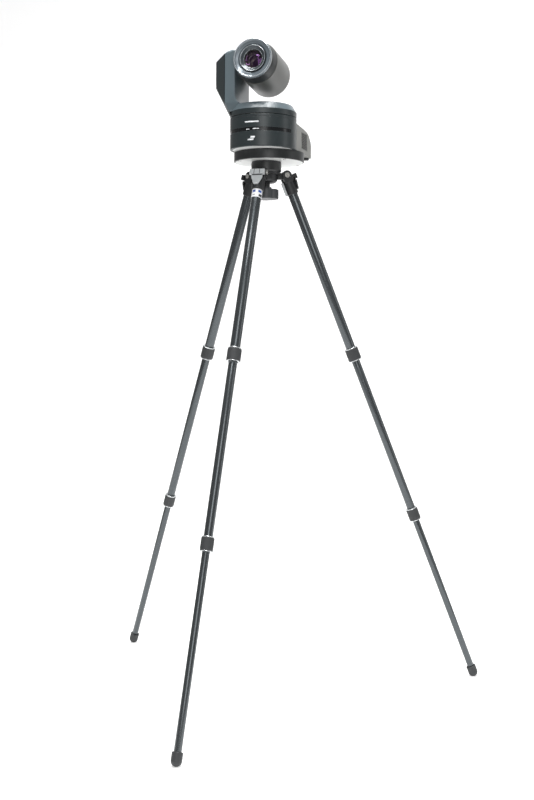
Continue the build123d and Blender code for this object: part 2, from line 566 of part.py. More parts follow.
def turntable():
    """The turning skirt and dome with the hollow arm that carries the barrel."""
    dome = turned(dome_outline(0))
    arm = extruded_xz(arm_outline(), ARM_HALF_DEPTH)
    sweep, steps = 20.0, 8
    corner = [(ARM_INNER - 1, DOME_TOP + sweep)]
    for i in range(steps + 1):
        angle = math.radians(90 * i / steps)
        corner.append((ARM_INNER + sweep * (1 - math.cos(angle)), DOME_TOP + sweep * (1 - math.sin(angle))))
    corner += [(ARM_INNER + sweep, DOME_TOP - 8), (ARM_INNER - 1, DOME_TOP - 8)]
    web = extruded_xz(corner, ARM_HALF_DEPTH - 4)
    body = dome + ((arm + web) & arm_bound())
    hollow = turned(dome_outline(3.0))
    hollow &= ring_between(100, SPIGOT_RADIUS, -5, DOME_TOP)
    body -= hollow
    pocket = block(ARM_SPLIT - 5, ARM_INNER - ARM_WALL, -ARM_HALF_DEPTH + ARM_WALL,
                   ARM_HALF_DEPTH - ARM_WALL, DOME_TOP + 8, ARM_TOP - ARM_TOP_DROP - ARM_WALL)
    body -= pocket
    body += ring_between(SPIGOT_RADIUS, 18, PAN_GEAR_LOW, SEAM_GAP + 2)
    body -= cylinder_between(18, SEAM_GAP - 1, DOME_TOP - 3)
    body -= Pos(ARM_INNER, 0, TILT_Z) * Rot(0, 90, 0) * Cylinder(SHAFT_OUTER + FREE_GAP, 12)
    return CAMERA * body


def cover_solid(inset):
    """The arm cover's outside: a box with wide bevels towards its outer face."""
    outer = ARM_OUTER + inset
    half = ARM_HALF_DEPTH - inset
    face_half = ARM_HALF_DEPTH - COVER_BEVEL_DEPTH - inset * 0.5
    foot = ARM_FOOT + inset
    top = ARM_TOP - ARM_TOP_DROP - inset
    face_top = top - COVER_BEVEL_TOP
    base = make_face(Polyline((ARM_SPLIT, -half, foot), (ARM_SPLIT, half, foot),
                              (ARM_SPLIT, half, top), (ARM_SPLIT, -half, top), close=True))
    cap = make_face(Polyline((outer, -face_half, foot), (outer, face_half, foot),
                             (outer, face_half, face_top), (outer, -face_half, face_top), close=True))
    return loft([base, cap])


def arm_cover():
    """The dark shell that closes the arm's outer side."""
    bound = arm_bound()
    outer = cover_solid(0) & bound
    inner = cover_solid(ARM_WALL) & (Pos(ARM_WALL + 2, 0, 4) * bound)
    return CAMERA * (outer - inner)


def tilt_motor():
    """The flat tilt motor on the arm's inner wall."""
    motor = cylinder_between(16, 0, 8)
    motor -= cylinder_between(SHAFT_RADIUS + RUN_FIT, 1, 9)
    place = Pos(ARM_INNER - ARM_WALL, 0, TILT_Z - tilt_centre_distance) * Rot(0, -90, 0)
    return CAMERA * place * motor


def tilt_gear():
    """The gear on the barrel's shaft."""
    low, high = -TILT_GEAR_INNER, -TILT_GEAR_OUTER
    gear = spur_gear(TILT_TEETH, SHAFT_OUTER, low, high, 0)
    return CAMERA * Pos(0, 0, TILT_Z) * Rot(0, -90, 0) * gear


def tilt_pinion():
    """The tilt motor's pinion with its shaft."""
    low, high = -TILT_GEAR_INNER, -TILT_GEAR_OUTER
    gap_towards_gear = 180.0 / PINION_TEETH
    pinion = spur_gear(PINION_TEETH, 1.0, low, high, gap_towards_gear)
    pinion += cylinder_between(SHAFT_RADIUS, -ARM_INNER + ARM_WALL + 2, low + 1)
    return CAMERA * Pos(0, 0, TILT_Z - tilt_centre_distance) * Rot(0, -90, 0) * pinion


# ---------------------------------------------------------------- barrel, built looking along +Z
BARREL = TILT * Rot(90, 0, 0)


def barrel_shell():
    """The turned rear shell of the barrel, rounded at its closed back end."""
    shell = cylinder_between(BARREL_RADIUS, -BARREL_REAR, BARREL_FRONT)
    shell = fillet(shell.edges().sort_by(Axis.Z)[0], BARREL_ROUND)
    core = cylinder_between(BARREL_RADIUS - BARREL_WALL, -BARREL_REAR + BARREL_WALL, BARREL_FRONT + 1)
    core = fillet(core.edges().sort_by(Axis.Z)[0], BARREL_ROUND - BARREL_WALL)
    shell -= core
    return BARREL * (shell - Rot(0, 90, 0) * Pos(0, 0, -BARREL_RADIUS) * Cylinder(SHAFT_OUTER, 12))


def tilt_shaft():
    """The hollow shaft that carries the barrel in the arm."""
    shaft = ring_between(SHAFT_OUTER, SHAFT_INNER, -TILT_GEAR_OUTER - 24.6, -TILT_GEAR_OUTER)
    return TILT * Rot(0, -90, 0) * shaft


def front_collar():
    """The dark tapering section ahead of the barrel."""
    outline = [(FACE_RADIUS - 2, BARREL_FRONT), (BARREL_RADIUS - 1, BARREL_FRONT),
               (BARREL_RADIUS - 2.2, BARREL_FRONT + 12), (FACE_RADIUS + 0.4, COLLAR_FRONT),
               (FACE_RADIUS - 2, COLLAR_FRONT)]
    return BARREL * turned(outline)


def face_ring():
    """The bright ring at the front, with a lip outside and a dished step down to the lens."""
    outline = [(LENS_RADIUS + 0.3, COLLAR_FRONT - 2), (FACE_RADIUS - 2.1, COLLAR_FRONT - 2),
               (FACE_RADIUS - 2.1, COLLAR_FRONT), (FACE_RADIUS, COLLAR_FRONT),
               (FACE_RADIUS, FACE_FRONT - 1.5), (FACE_RADIUS - 1.5, FACE_FRONT),
               (FACE_RADIUS - 4, FACE_FRONT),
               (FACE_RADIUS - 6, FACE_FRONT - 2.2), (LENS_RADIUS + 3.5, FACE_FRONT - 3.4),
               (LENS_RADIUS + 1.8, FACE_FRONT - 6), (LENS_RADIUS + 0.3, FACE_FRONT - 6)]
    ring = turned(outline)
    return BARREL * (ring - TALLY_SPACE)


TALLY_SPACE = block(-9.5, 9.5, FACE_RADIUS - 3.2, FACE_RADIUS + 3, COLLAR_FRONT + 1.5, FACE_FRONT + 1)


def tally_lamp():
    """The clear lamp bar in the top of the face ring."""
    bar = ring_between(FACE_RADIUS - 0.1, FACE_RADIUS - 3.1, COLLAR_FRONT + 1.6, FACE_FRONT - 0.2)
    space = block(-9.4, 9.4, 0, FACE_RADIUS + 3, COLLAR_FRONT + 1.5, FACE_FRONT + 1)
    return BARREL * (bar & space & TALLY_SPACE)


def lens_barrel():
    """The lens tube: a wide front bezel that dishes in to the glass, and a plain tube behind."""
    bore, back = GLASS_RADIUS + 0.1, -18
    outline = [(bore, FACE_FRONT - 9), (bore + 1.5, FACE_FRONT - 6.5),
               (LENS_RADIUS - 1.5, FACE_FRONT - 1.8), (LENS_RADIUS, FACE_FRONT - 2.5),
               (LENS_RADIUS, COLLAR_FRONT - 10), (LENS_BODY_RADIUS, COLLAR_FRONT - 10),
               (LENS_BODY_RADIUS, back), (12, back), (12, back + 3), (bore, back + 3)]
    return BARREL * turned(outline)


def front_glass():
    """The domed front element."""
    dome_height = 4.0
    sphere_radius = (GLASS_RADIUS ** 2 + dome_height ** 2) / (2 * dome_height)
    top = FACE_FRONT - 8.0
    dome = Pos(0, 0, top - sphere_radius) * Sphere(sphere_radius)
    return BARREL * (dome & cylinder_between(GLASS_RADIUS, top - 9, top + 1))


def sensor_board():
    """The square board with the image sensor, behind the lens tube."""
    board = block(-24, 24, -22, 22, -22, -20.4)
    return BARREL * (board + block(-9, 9, -7, 7, -20.4, -18.4))


# ---------------------------------------------------------------- write every part
for make in (spider, hinge_bolts, platform, platform_pad, camera_screw, clamp_knob,
             base_drum, slot_window, rear_housing, vent_grilles, connector_panel, power_inlet,
             bottom_chassis, main_board, fan_frame, fan_rotor, pan_bearing, pan_gear, pan_motor,
             pan_pinion, turntable, arm_cover, tilt_motor, tilt_gear, tilt_pinion,
             barrel_shell, tilt_shaft, front_collar, face_ring, tally_lamp, lens_barrel, front_glass,
             sensor_board):
    save(make.__name__, make())
for socket_name in SOCKETS:
    save(socket_name, socket(socket_name))
save_legs()
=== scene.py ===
import json
import math
import bmesh
import bpy
import numpy as np
from mathutils import Matrix, Vector


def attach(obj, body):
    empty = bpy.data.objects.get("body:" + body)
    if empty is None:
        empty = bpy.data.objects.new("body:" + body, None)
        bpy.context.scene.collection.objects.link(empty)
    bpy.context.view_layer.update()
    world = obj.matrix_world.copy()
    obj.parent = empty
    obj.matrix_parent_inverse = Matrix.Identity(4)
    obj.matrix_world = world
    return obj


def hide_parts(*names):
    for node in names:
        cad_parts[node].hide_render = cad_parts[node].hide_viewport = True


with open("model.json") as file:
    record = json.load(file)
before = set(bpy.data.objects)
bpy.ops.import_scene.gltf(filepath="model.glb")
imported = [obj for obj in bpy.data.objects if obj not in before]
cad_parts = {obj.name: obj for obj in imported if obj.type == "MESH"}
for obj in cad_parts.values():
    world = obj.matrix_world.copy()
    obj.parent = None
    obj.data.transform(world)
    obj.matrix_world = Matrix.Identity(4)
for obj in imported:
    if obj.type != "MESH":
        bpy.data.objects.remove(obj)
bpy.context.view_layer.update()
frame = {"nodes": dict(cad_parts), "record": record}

joints = {joint["name"]: joint for joint in frame["record"]["behaviour"]["joints"]}
mm = 0.001


# ---- Camera
# A long lens on a stand about two and a half metres away, to the right of the front leg. It looks
# almost level, so the tripod's feet are seen from above and the camera's base from below.
pan_point = np.array(joints["camera_pan"]["pos_m"])
stand_axis = np.array(joints["platform_turn"]["pos_m"])
view_turn = math.radians(18.4)
view_distance = 2.4973
eye_height = 0.7787
eye_right_of_aim = math.radians(0.11)
look_down = math.radians(3.39)
roll = math.radians(0.40)

heading = view_turn - eye_right_of_aim
forward = Vector((-math.sin(heading) * math.cos(look_down), math.cos(heading) * math.cos(look_down),
                  -math.sin(look_down)))
level_right = Vector((math.cos(heading), math.sin(heading), 0))
level_up = level_right.cross(forward)
right = math.cos(roll) * level_right + math.sin(roll) * level_up
up = -math.sin(roll) * level_right + math.cos(roll) * level_up
eye = Vector((stand_axis[0] + view_distance * math.sin(view_turn),
              stand_axis[1] - view_distance * math.cos(view_turn), eye_height))
camera_data = bpy.data.cameras.new("camera")
camera_data.sensor_width = 36
camera_data.lens = 52.2
camera_data.clip_end = 50
camera = bpy.data.objects.new("camera", camera_data)
camera.matrix_world = Matrix((
    (right.x, up.x, -forward.x, eye.x),
    (right.y, up.y, -forward.y, eye.y),
    (right.z, up.z, -forward.z, eye.z),
    (0, 0, 0, 1)))
bpy.context.scene.collection.objects.link(camera)
bpy.context.scene.camera = camera
bpy.context.scene.view_settings.view_transform = "Standard"


# ---- Studio
# A white paper sweep: flat under the tripod and curved up behind it, lit by large soft boxes.
def add_mesh(name, verts, faces, material=None, smooth=True):
    """A mesh object at the origin from an array of points and an array of corner numbers."""
    mesh = bpy.data.meshes.new(name)
    mesh.from_pydata(verts.reshape(-1, 3).tolist(), [], faces.tolist())
    mesh.update()
    if smooth:
        mesh.shade_smooth()
    thing = bpy.data.objects.new(name, mesh)
    bpy.context.scene.collection.objects.link(thing)
    if material:
        mesh.materials.append(material)
    return thing


def grid_faces(rows, columns, close_rows=False, close_columns=False):
    """Quads between neighbouring points of a grid, each as four point numbers; the last row or
    column joins the first where it is closed."""
    row = np.arange(rows if close_rows else rows - 1)[:, None]
    column = np.arange(columns if close_columns else columns - 1)[None, :]
    next_row, next_column = (row + 1) % rows, (column + 1) % columns
    corners = [row * columns + column, row * columns + next_column,
               next_row * columns + next_column, next_row * columns + column]
    return np.stack([c + 0 * row + 0 * column for c in corners], axis=-1).reshape(-1, 4)


def socket_value(shader, **values):
    """Sets constant values on a shader's own sockets, with _ for a space in a socket's name."""
    for name, value in values.items():
        shader.inputs[name.replace("_", " ")].default_value = value


def new_material(name):
    """A material with its node tree cleared down to a Principled shader and the output."""
    material = bpy.data.materials.new(name)
    material.use_nodes = True
    return material, material.node_tree, material.node_tree.nodes["Principled BSDF"]


sweep_radius, sweep_back, sweep_front, sweep_top = 1.2, 2.2, -1.7, 4.0
turn = np.linspace(0, math.pi / 2, 17)
sweep_x = np.linspace(-3.4, 2.4, 3)
sweep_y = np.concatenate([[sweep_front], sweep_back + sweep_radius * np.sin(turn),
                          [sweep_back + sweep_radius]])
sweep_z = np.concatenate([[0.0], sweep_radius * (1 - np.cos(turn)), [sweep_top]])
sweep_shape = (len(sweep_y), len(sweep_x))
sweep_points = np.stack([np.broadcast_to(sweep_x, sweep_shape),
                         np.broadcast_to(sweep_y[:, None], sweep_shape),
                         np.broadcast_to(sweep_z[:, None], sweep_shape)], axis=-1)
paper, _, paper_shader = new_material("white_paper")
socket_value(paper_shader, Base_Color=(0.93, 0.93, 0.93, 1), Roughness=0.9, Specular_IOR_Level=0.1,
             Emission_Color=(1, 1, 1, 1), Emission_Strength=0.45)
sweep = add_mesh("paper_sweep", sweep_points, grid_faces(*sweep_shape), paper)

world = bpy.data.worlds.new("studio")
world.use_nodes = True
world.node_tree.nodes["Background"].inputs["Color"].default_value = (1.0, 1.0, 1.0, 1)
world.node_tree.nodes["Background"].inputs["Strength"].default_value = 0.30
bpy.context.scene.world = world


def soft_box(name, place, aim, width, tall, power):
    """A rectangular area lamp at place, facing aim."""
    lamp = bpy.data.lights.new(name, "AREA")
    lamp.shape = "RECTANGLE"
    lamp.size, lamp.size_y, lamp.energy = width, tall, power
    thing = bpy.data.objects.new(name, lamp)
    thing.location = place
    thing.rotation_euler = (Vector(aim) - Vector(place)).to_track_quat("-Z", "Y").to_euler()
    bpy.context.scene.collection.objects.link(thing)


camera_middle = (0, float(pan_point[1]), float(pan_point[2]))
soft_box("front_box", (0.95, -2.75, 1.75), (0, 0, 0.9), 1.2, 2.4, 32)
soft_box("overhead_box", (0.0, 0.05, 2.75), camera_middle, 1.1, 1.1, 80)
soft_box("upper_front_box", (0.12, -1.35, 2.75), camera_middle, 0.55, 0.4, 9)
soft_box("right_strip", (2.4, 0.5, 1.2), (0, 0, 0.8), 0.35, 2.4, 8)


# ---- Turntable and arm
# The turning head: a bevelled dome over a dark moulded skirt, and a hollow arm cast with the dome.
# Dome and arm are die-cast alloy in satin blue-grey paint, and the arm's foot follows the drum.
def noise_over(tree, place, scale, detail):
    """A noise node over the points that place gives, at so many lumps to the metre."""
    noise = tree.nodes.new("ShaderNodeTexNoise")
    noise.inputs["Scale"].default_value = scale
    noise.inputs["Detail"].default_value = detail
    tree.links.new(place, noise.inputs["Vector"])
    return noise


def run_between(tree, value, start, end, low=0.0, high=1.0):
    """Turns a value's run from start to end into one from low to high, held at both ends."""
    ramp = tree.nodes.new("ShaderNodeMapRange")
    for name, number in (("From Min", start), ("From Max", end), ("To Min", low), ("To Max", high)):
        ramp.inputs[name].default_value = number
    tree.links.new(value, ramp.inputs["Value"])
    return ramp.outputs["Result"]


def product(tree, value, factor):
    """A value times a factor, which is a number or a node's output."""
    times = tree.nodes.new("ShaderNodeMath")
    times.operation = "MULTIPLY"
    tree.links.new(value, times.inputs[0])
    if hasattr(factor, "links"):
        tree.links.new(factor, times.inputs[1])
    else:
        times.inputs[1].default_value = factor
    return times.outputs["Value"]


def surface_group():
    """The finish that every moulded or painted part shares. The grain is fine noise used as a bump
    on a normal rounded at the edges; wear is where that rounded normal leaves the true one, broken
    up by noise; mottle is slow noise over some centimetres."""
    group = bpy.data.node_groups.new("moulded_surface", "ShaderNodeTree")
    for name, value in (("Grain Scale", 900.0), ("Grain Depth", 0.00002), ("Edge Radius", 0.0005)):
        made = group.interface.new_socket(name, in_out="INPUT", socket_type="NodeSocketFloat")
        made.default_value = value
    for name, kind in (("Normal", "NodeSocketVector"), ("Wear", "NodeSocketFloat"),
                       ("Mottle", "NodeSocketFloat"), ("Dust", "NodeSocketFloat")):
        group.interface.new_socket(name, in_out="OUTPUT", socket_type=kind)
    nodes, links = group.nodes, group.links
    given, out = nodes.new("NodeGroupInput"), nodes.new("NodeGroupOutput")
    place = nodes.new("ShaderNodeTexCoord")
    edge = nodes.new("ShaderNodeBevel")
    edge.samples = 4
    links.new(given.outputs["Edge Radius"], edge.inputs["Radius"])
    grain = noise_over(group, place.outputs["Object"], 900, 3)
    links.new(given.outputs["Grain Scale"], grain.inputs["Scale"])
    bump = nodes.new("ShaderNodeBump")
    bump.inputs["Strength"].default_value = 1.0
    links.new(given.outputs["Grain Depth"], bump.inputs["Distance"])
    links.new(grain.outputs["Fac"], bump.inputs["Height"])
    links.new(edge.outputs["Normal"], bump.inputs["Normal"])
    links.new(bump.outputs["Normal"], out.inputs["Normal"])
    true_normal = nodes.new("ShaderNodeNewGeometry")
    agree = nodes.new("ShaderNodeVectorMath")
    agree.operation = "DOT_PRODUCT"
    links.new(edge.outputs["Normal"], agree.inputs[0])
    links.new(true_normal.outputs["Normal"], agree.inputs[1])
    edge_mask = run_between(group, agree.outputs["Value"], 0.995, 0.90)
    patchy = noise_over(group, place.outputs["Object"], 160, 5)
    patch_mask = run_between(group, patchy.outputs["Fac"], 0.42, 0.68)
    links.new(product(group, edge_mask, patch_mask), out.inputs["Wear"])
    slow = noise_over(group, place.outputs["Object"], 22, 4)
    links.new(slow.outputs["Fac"], out.inputs["Mottle"])
    upward = nodes.new("ShaderNodeSeparateXYZ")
    links.new(true_normal.outputs["Normal"], upward.inputs["Vector"])
    facing_up = run_between(group, upward.outputs["Z"], 0.35, 1.0)
    links.new(product(group, facing_up, patch_mask), out.inputs["Dust"])
    return group


moulded_surface = surface_group()


def colour_mix(tree, factor, low, high):
    """A mix between the colours low and high by factor; each is three numbers or a node's output."""
    mix = tree.nodes.new("ShaderNodeMix")
    mix.data_type = "RGBA"
    for end, value in (("A", low), ("B", high)):
        target = [socket for socket in mix.inputs if socket.name == end and socket.type == "RGBA"][0]
        if hasattr(value, "links"):
            tree.links.new(value, target)
        else:
            target.default_value = (*value, 1)
    tree.links.new(factor, mix.inputs["Factor"])
    return [socket for socket in mix.outputs if socket.type == "RGBA"][0]


def finish_material(name, colour, variation, rough, grain=(900.0, 0.00002), edge_radius=0.0006,
                    worn=None, dusty=0.06, **constants):
    """A part's finish: its colour shifts with mottle, its edges go to the worn colour, upward faces
    gather a little dust, and its roughness runs with mottle between the two values of rough."""
    material, tree, shader = new_material(name)
    nodes, links = tree.nodes, tree.links
    skin = nodes.new("ShaderNodeGroup")
    skin.node_tree = moulded_surface
    skin.inputs["Grain Scale"].default_value = grain[0]
    skin.inputs["Grain Depth"].default_value = grain[1]
    skin.inputs["Edge Radius"].default_value = edge_radius
    links.new(skin.outputs["Normal"], shader.inputs["Normal"])

    def blended(amount, low, high, strength=1.0):
        """The colour low turning to high as amount, scaled by strength, goes from 0 to 1."""
        return colour_mix(tree, product(tree, amount, strength), low, high)

    low = tuple(c * (1 - variation) for c in colour)
    high = tuple(min(1.0, c * (1 + variation)) for c in colour)
    shade = blended(skin.outputs["Mottle"], low, high)
    shade = blended(skin.outputs["Wear"], shade, worn or tuple(c * 1.8 + 0.02 for c in colour), 0.55)
    shade = blended(skin.outputs["Dust"], shade, (0.42, 0.41, 0.39), dusty)
    links.new(shade, shader.inputs["Base Color"])
    links.new(run_between(tree, skin.outputs["Mottle"], 0.3, 0.7, *rough), shader.inputs["Roughness"])
    socket_value(shader, **constants)
    return material


head_paint = finish_material("head_paint", (0.090, 0.118, 0.132), 0.05, (0.26, 0.34), (1400.0, 0.000012),
                             worn=(0.35, 0.37, 0.38), Specular_IOR_Level=0.55, Coat_Weight=0.08,
                             Coat_Roughness=0.25)


def rounded_profile(points, radius, steps=5):
    """An open outline with each inner corner turned into an arc. An arc runs between two points at
    the same distance from the corner, along a quadratic curve whose middle control is the corner."""
    points = np.array(points, float)
    before, corner, after = points[:-2], points[1:-1], points[2:]
    back, ahead = before - corner, after - corner
    back_length, ahead_length = np.hypot(*back.T)[:, None], np.hypot(*ahead.T)[:, None]
    cut = np.minimum(radius, 0.45 * np.minimum(back_length, ahead_length))
    start, end = corner + back / back_length * cut, corner + ahead / ahead_length * cut
    t = np.linspace(0, 1, steps)[None, :, None]
    arcs = start[:, None] * (1 - t) ** 2 + corner[:, None] * 2 * t * (1 - t) + end[:, None] * t ** 2
    return np.concatenate([points[:1], arcs.reshape(-1, 2), points[-1:]])


def turned_points(profile, origin, axis, start, columns):
    """Points of a turned surface: each (radius, height) of the profile goes round the axis through
    origin, at radius away from it and height along it; start is the direction of angle zero."""
    axis = np.array(axis, float) / np.linalg.norm(axis)
    start = np.array(start, float) - np.dot(start, axis) * axis
    start /= np.linalg.norm(start)
    side = np.cross(axis, start)
    angle = np.linspace(0, 2 * math.pi, columns, endpoint=False)
    ring = np.cos(angle)[:, None] * start + np.sin(angle)[:, None] * side
    profile = np.array(profile, float)
    return (np.array(origin) + profile[:, None, 0:1] * ring[None] + profile[:, None, 1:2] * axis)


def turned_piece(name, profile, origin, axis, start, material, body, columns=128, closed=False):
    """A turned piece. Its profile runs so that the outside is on its right hand going up; closed
    joins the last row to the first, for a ring."""
    points = turned_points(profile, origin, axis, start, columns)
    faces = grid_faces(len(profile), columns, close_rows=closed, close_columns=True)
    piece = add_mesh(name, points, faces, material)
    face_outwards(piece)
    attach(piece, body)
    return piece


def face_outwards(piece):
    """Merges doubled points, such as those of a pole, and turns every face outwards."""
    work = bmesh.new()
    work.from_mesh(piece.data)
    bmesh.ops.remove_doubles(work, verts=work.verts, dist=1e-6)
    bmesh.ops.recalc_face_normals(work, faces=work.faces)
    work.to_mesh(piece.data)
    work.free()
    piece.data.update()


drum_radius = 70.0
skirt_top, dome_top, bevel_top_radius = 11.5, 25.5, 61.0
arm_inner, arm_split, arm_half_depth, arm_top = -48.0, -71.0, 46.0, 139.0
inner_sweep = 20.0
dome_profile = rounded_profile([[69.3, skirt_top - 2], [69.9, skirt_top], [bevel_top_radius, dome_top],
                                [30.0, dome_top], [0.01, dome_top]], 2.2, 9) * mm
dome = turned_piece("turntable_dome", dome_profile, pan_point, (0, 0, 1), (1, 0, 0), head_paint,
                    "pan_head", 192)
drum_plastic = finish_material("drum_plastic", (0.015, 0.022, 0.024), 0.06, (0.34, 0.44), (1700.0, 0.00002),
                               worn=(0.12, 0.13, 0.14), Specular_IOR_Level=0.5)
skirt_profile = rounded_profile([[66.5, 0.6], [69.4, 0.6], [70.0, 1.2], [70.0, skirt_top - 0.3],
                                 [69.6, skirt_top], [67.0, skirt_top]], 0.4) * mm
turned_piece("turntable_skirt", skirt_profile, pan_point, (0, 0, 1), (1, 0, 0), drum_plastic,
             "pan_head", 192)


def rounded_box_ring(x_low, x_high, half_depth, corner):
    """Points round a rectangle with rounded corners, for every row at once: four quarter circles of
    the corner radius, centred that far inside each corner of the rectangle."""
    count = 16
    quarter = np.linspace(0, math.pi / 2, count)
    angle = np.concatenate([quarter + k * math.pi / 2 for k in range(4)])
    side_x = np.repeat([1, -1, -1, 1], count)
    side_y = np.repeat([1, 1, -1, -1], count)
    middle_x = np.where(side_x > 0, x_high[:, None] - corner, x_low[:, None] + corner)
    middle_y = side_y * (half_depth[:, None] - corner)
    return middle_x + corner * np.cos(angle), middle_y + corner * np.sin(angle)


def cone_limit(z):
    """How far from the pan axis the arm may reach at height z: just inside the drum's radius at the
    seam, then half a millimetre more for each millimetre up."""
    return drum_radius - 0.4 + np.clip(z - 2.0, 0, None) * 0.5


def arm_surface(name, z, x_low, x_high, half_depth, corner, material):
    """A body of rounded rectangles stacked at heights z, pulled in to the cone's limit, with its
    first and last rings closed to their middles. Its upper part sinks with distance outwards from
    the inner face, and more steeply past a ridge."""
    x, y = rounded_box_ring(x_low, x_high, half_depth, corner)
    reach = np.hypot(x, y)
    pull = np.minimum(1, cone_limit(z)[:, None] / reach)
    ridge, slope_start = arm_inner - 11, 70
    sink = 0.3 * (ridge - np.minimum(x, ridge)) + 0.1 * (arm_inner - x)
    level = z[:, None] - sink * np.clip((z[:, None] - slope_start) / (arm_top - slope_start), 0, 1)
    points = np.stack([x * pull, y * pull, level], axis=-1)
    ends = [points[:1].mean(axis=1, keepdims=True) + 0 * points[:1],
            points[-1:].mean(axis=1, keepdims=True) + 0 * points[-1:]]
    points = np.concatenate([ends[0], points, ends[1]]) * mm + pan_point
    piece = add_mesh(name, points, grid_faces(points.shape[0], points.shape[1], close_columns=True), material)
    face_outwards(piece)
    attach(piece, "pan_head")
    return piece


corner_turn = np.linspace(0, math.pi / 2, 15)
low_z = dome_top + inner_sweep * (1 - np.sin(corner_turn[::-1]))
top_turn = np.linspace(0, math.pi / 2, 9)
top_round = 5.0
foot_z = [11.8, 14.0, 17.0, 20.0, 23.0]
column_z = np.linspace(49, arm_top - top_round, 12)[:-1]
arm_z = np.concatenate([foot_z, low_z, column_z, arm_top - top_round + top_round * np.sin(top_turn)])
top_pull = top_round * (1 - np.cos(top_turn))
inner_now = np.concatenate([np.full(len(foot_z), arm_inner + inner_sweep),
                            arm_inner + inner_sweep * (1 - np.cos(corner_turn[::-1])),
                            np.full(len(column_z), arm_inner), arm_inner - top_pull])
arm_outer_now = np.full(len(arm_z), arm_split)
arm_outer_now[-len(top_turn):] = arm_split + top_pull
arm_depth_now = np.full(len(arm_z), arm_half_depth)
arm_depth_now[-len(top_turn):] = arm_half_depth - top_pull
arm = arm_surface("turntable_arm", arm_z, arm_outer_now, inner_now, arm_depth_now, 2.2, head_paint)
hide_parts("turntable")


# ---- Arm cover
# The snap-on cover of the arm's outer side, moulded in darker grained plastic. It bulges out in
# wide bevels towards a flat outer face, and hides the tilt gear and its motor.
arm_outer, cover_top, bevel_depth, bevel_top = -99.0, 131.5, 22.0, 12.0
outer_turn = np.linspace(0.2, 1.57, 5)
share = np.concatenate([[0.0], np.linspace(0.02, 0.94, 9), 1 - 0.05 * (1 - np.sin(outer_turn))])
cover_x = arm_split - 0.3 + (arm_outer - arm_split + 0.3) * share
edge_fall = np.clip((share - 0.93) / 0.07, 0, 1) ** 2
cover_half = arm_half_depth - 0.3 - bevel_depth * share - 2.4 * edge_fall
cover_high = cover_top - bevel_top * share - 2.4 * edge_fall
cover_low = np.full_like(share, 4.0)


def cover_ring(x, half, low, high):
    """Rounded rectangles in (y, z) at each x: rounded corners joined by straight sides with points
    along them, so that the cone's limit can bend the lower part."""
    corner, count, rise = 3.0, 10, 14
    quarter = np.linspace(0, math.pi / 2, count)
    top_right = np.stack([np.cos(quarter), np.sin(quarter)])
    side = np.linspace(0, 1, rise)[:-1]
    y = np.concatenate([np.ones(rise - 1), top_right[0], top_right[0][::-1] * -1, -np.ones(rise - 1)])
    straight = np.concatenate([side, np.ones(count * 2), side[::-1]])
    up_part = np.concatenate([np.zeros(rise - 1), top_right[1], top_right[1][::-1], np.zeros(rise - 1)])
    is_corner = np.concatenate([np.zeros(rise - 1), np.ones(2 * count), np.zeros(rise - 1)])
    side_sign = np.sign(y + 1e-9)
    out_y = np.where(is_corner > 0, side_sign * (half[:, None] - corner) + corner * y, half[:, None] * y)
    out_z = low[:, None] + straight * (high - low - corner)[:, None] + corner * up_part
    return np.stack([x[:, None] + 0 * out_y, out_y, out_z], axis=-1)


cover_points = cover_ring(cover_x, cover_half, cover_low, cover_high)
cover_reach = np.hypot(cover_points[..., 0], cover_points[..., 1])
cover_pull = np.minimum(1, cone_limit(cover_points[..., 2]) / cover_reach)[..., None]
cover_points[..., :2] *= cover_pull
middle = cover_points[-1:].copy()
middle[..., 1] = 0
cover_points = np.concatenate([cover_points, middle]) * mm + pan_point
cover = add_mesh("arm_cover_shell", cover_points,
                 grid_faces(cover_points.shape[0], cover_points.shape[1], close_columns=True), drum_plastic)
face_outwards(cover)
cover.data.set_sharp_from_angle(angle=math.radians(40))
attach(cover, "pan_head")
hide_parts("arm_cover")


# ---- Camera barrel
# The barrel is spun alloy in satin grey paint with a fully rounded back. A dark moulded collar
# closes its front and carries the face ring. It tilts on a shaft through the arm.
tilt_point = np.array(joints["camera_tilt"]["pos_m"])
tilt_point[0] = 0
lens_up = math.radians(7)
lens_axis = np.array([0, -math.cos(lens_up), math.sin(lens_up)])
barrel_up = (0, 0, 1)
barrel_paint = finish_material("barrel_paint", (0.060, 0.062, 0.056), 0.05, (0.30, 0.37), (1500.0, 0.000012),
                               worn=(0.35, 0.35, 0.34), Specular_IOR_Level=0.6)
collar_plastic = finish_material("collar_plastic", (0.012, 0.014, 0.015), 0.06, (0.36, 0.45),
                                 (1700.0, 0.00002))
barrel_radius, barrel_back, barrel_front, back_round = 44.5, -59.0, 45.0, 18.0
back_turn = np.linspace(0, math.pi / 2, 17)
barrel_profile = np.concatenate([
    [[0.01, barrel_back]],
    np.stack([barrel_radius - back_round + back_round * np.sin(back_turn),
              barrel_back + back_round - back_round * np.cos(back_turn)], axis=1),
    [[barrel_radius, 10.0]],
    rounded_profile([[barrel_radius, barrel_front - 2], [barrel_radius, barrel_front],
                     [barrel_radius - 3.5, barrel_front]], 0.8)]) * mm
barrel = turned_piece("barrel_skin", barrel_profile, tilt_point, lens_axis, barrel_up, barrel_paint,
                      "barrel", 192)
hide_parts("barrel_shell")
collar_profile = rounded_profile([[40.0, 45.3], [43.6, 45.3], [43.4, 47.0], [42.5, 57.0], [41.4, 69.1],
                                  [38.0, 69.1]], 0.7) * mm
collar = turned_piece("front_collar_skin", collar_profile, tilt_point, lens_axis, barrel_up,
                      collar_plastic, "barrel", 192)
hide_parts("front_collar")


